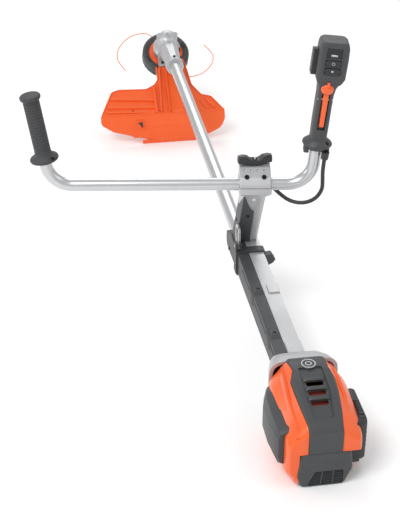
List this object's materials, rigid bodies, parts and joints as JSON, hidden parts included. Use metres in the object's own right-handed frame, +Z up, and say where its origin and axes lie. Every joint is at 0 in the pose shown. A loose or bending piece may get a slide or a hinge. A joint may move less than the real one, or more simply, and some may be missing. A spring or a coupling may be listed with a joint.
{
  "type": "brush cutter",
  "caption": "Battery brush cutter with trimmer head, wide guard, straight shaft, swivelling handlebar, control handle and rear motor housing.",
  "frame": {"origin": "centre of the box's bottom face, on the floor where the machine lies at rest", "axes": "+Y along the machine towards the cutting head, +X to the operator's right, +Z up"},
  "size_m": [0.5444, 1.7403, 0.5676],
  "materials": {
    "dark_plastic": "moulded, fine grain",
    "orange_plastic": "moulded, satin",
    "silver_cast": "light grey painted casting",
    "tube_aluminium": "brushed anodised",
    "grip_rubber": "soft, matt",
    "black_screws": "black oxide",
    "steel": "turned",
    "copper_winding": "enamelled windings",
    "board": "circuit board",
    "window_glass": "glossy",
    "line_nylon": "drawn nylon",
    "cable_rubber": "smooth",
    "black_plastic": "moulded"
  },
  "bodies": {
    "frame": {"gear_housing": "silver_cast", "gear_housing_screws": "black_screws", "gear_bearings": "steel", "guard": "orange_plastic", "guard_extension": "orange_plastic", "line_cutter_blade": "steel", "guard_screws": "black_screws", "guard_bracket": "silver_cast", "shaft_tube": "tube_aluminium", "shaft_bushings": "black_plastic", "rear_frame": "silver_cast", "cable_cover": "dark_plastic", "cable_cover_screws": "black_screws", "suspension_band": "dark_plastic", "ring_pin": "steel", "harness_hook": "dark_plastic", "knob_stud": "steel", "housing_top_cover": "dark_plastic", "rear_bumper": "dark_plastic", "housing_left": "orange_plastic", "housing_right": "orange_plastic", "battery_compartment_end": "dark_plastic", "motor_front_cover": "silver_cast", "motor_bearings": "steel", "motor_stator": "copper_winding", "controller_board": "board"},
    "drive_train": {"drive_shaft": "steel", "pinion_gear": "steel", "shaft_coupling": "steel", "motor_rotor": "steel", "cooling_fan": "black_plastic"},
    "cutting_head": {"output_gear": "steel", "output_shaft": "steel", "drive_disc": "steel", "trimmer_head_housing": "dark_plastic", "trimmer_head_cover": "orange_plastic", "line_spool": "black_plastic", "trimmer_line_left": "line_nylon", "trimmer_line_right": "line_nylon"},
    "bump_feed": {"bump_knob": "black_plastic"},
    "handlebar": {"handlebar_tube": "tube_aluminium", "left_grip": "grip_rubber", "handle_left_shell": "dark_plastic", "handle_right_shell": "dark_plastic", "handle_pins": "steel", "display_window": "window_glass", "cable_gland": "cable_rubber", "control_cable": "cable_rubber", "handle_clamp_base": "silver_cast", "handle_clamp_cap": "silver_cast", "clamp_screws": "black_screws"},
    "knob": {"handle_knob": "black_plastic"},
    "trigger": {"throttle_trigger": "black_plastic"},
    "lockout": {"trigger_lockout": "orange_plastic"},
    "power_key": {"power_button": "black_plastic"},
    "mode_key": {"mode_button": "black_plastic"},
    "boost_key": {"boost_button": "black_plastic"},
    "ring": {"suspension_ring": "steel"},
    "battery": {"battery_pack": "black_plastic"},
    "latch": {"battery_latch": "black_plastic"}
  },
  "joints": [
    {"name": "drive_spin", "type": "hinge", "parent": "frame", "child": "drive_train", "pos_m": [0.12632, 0.03671, 0.14932], "axis": [0, 0.9967, 0.0815], "continuous": true},
    {"name": "cutter_spin", "type": "hinge", "parent": "frame", "child": "cutting_head", "pos_m": [0.12632, 0.78422, 0.21047], "axis": [0, -0.6385, 0.7697], "continuous": true},
    {"name": "bump_feed_press", "type": "slide", "parent": "cutting_head", "child": "bump_feed", "axis": [0, -0.6385, 0.7697], "range_m": [0, 0.005], "stiffness_N_per_m": 800, "springref_m": -0.002},
    {"name": "handlebar_swivel", "type": "hinge", "parent": "frame", "child": "handlebar", "pos_m": [0.12632, -0.36209, 0.30231], "axis": [0, -0.0815, 0.9967], "range_deg": [-78, 12]},
    {"name": "knob_turn", "type": "hinge", "parent": "frame", "child": "knob", "pos_m": [0.12632, -0.36453, 0.33221], "axis": [0, -0.0815, 0.9967], "range_deg": [0, 180]},
    {"name": "trigger_pull", "type": "hinge", "parent": "handlebar", "child": "trigger", "pos_m": [0.23666, -0.40107, 0.46491], "axis": [-0.9845, 0.1388, 0.1075], "range_deg": [0, 11], "stiffness_Nm_per_rad": 0.35, "springref_deg": -5.73},
    {"name": "lockout_press", "type": "hinge", "parent": "handlebar", "child": "lockout", "pos_m": [0.23238, -0.42965, 0.46257], "axis": [0.9845, -0.1388, -0.1075], "range_deg": [0, 4], "stiffness_Nm_per_rad": 0.3, "springref_deg": -5.73},
    {"name": "power_press", "type": "slide", "parent": "handlebar", "child": "power_key", "axis": [0.1478, 0.9857, 0.0806], "range_m": [0, 0.001], "stiffness_N_per_m": 400, "springref_m": -0.0005},
    {"name": "mode_press", "type": "slide", "parent": "handlebar", "child": "mode_key", "axis": [0.1478, 0.9857, 0.0806], "range_m": [0, 0.001], "stiffness_N_per_m": 400, "springref_m": -0.0005},
    {"name": "boost_press", "type": "slide", "parent": "handlebar", "child": "boost_key", "axis": [0.9845, -0.1388, -0.1075], "range_m": [0, 0.002], "stiffness_N_per_m": 400, "springref_m": -0.001},
    {"name": "suspension_ring_swing", "type": "hinge", "parent": "frame", "child": "ring", "pos_m": [0.10232, -0.32586, 0.15377], "axis": [1, 0, 0], "range_deg": [-5, 50]},
    {"name": "battery_slide", "type": "slide", "parent": "frame", "child": "battery", "axis": [1, 0, 0], "range_m": [0, 0.13]},
    {"name": "latch_press", "type": "slide", "parent": "battery", "child": "latch", "axis": [0, 0.0815, -0.9967], "range_m": [0, 0.003], "stiffness_N_per_m": 500, "springref_m": -0.0005}
  ],
  "couplings": [
    {"joint": "cutter_spin", "follows": "drive_spin", "ratio": 0.68182}
  ]
}
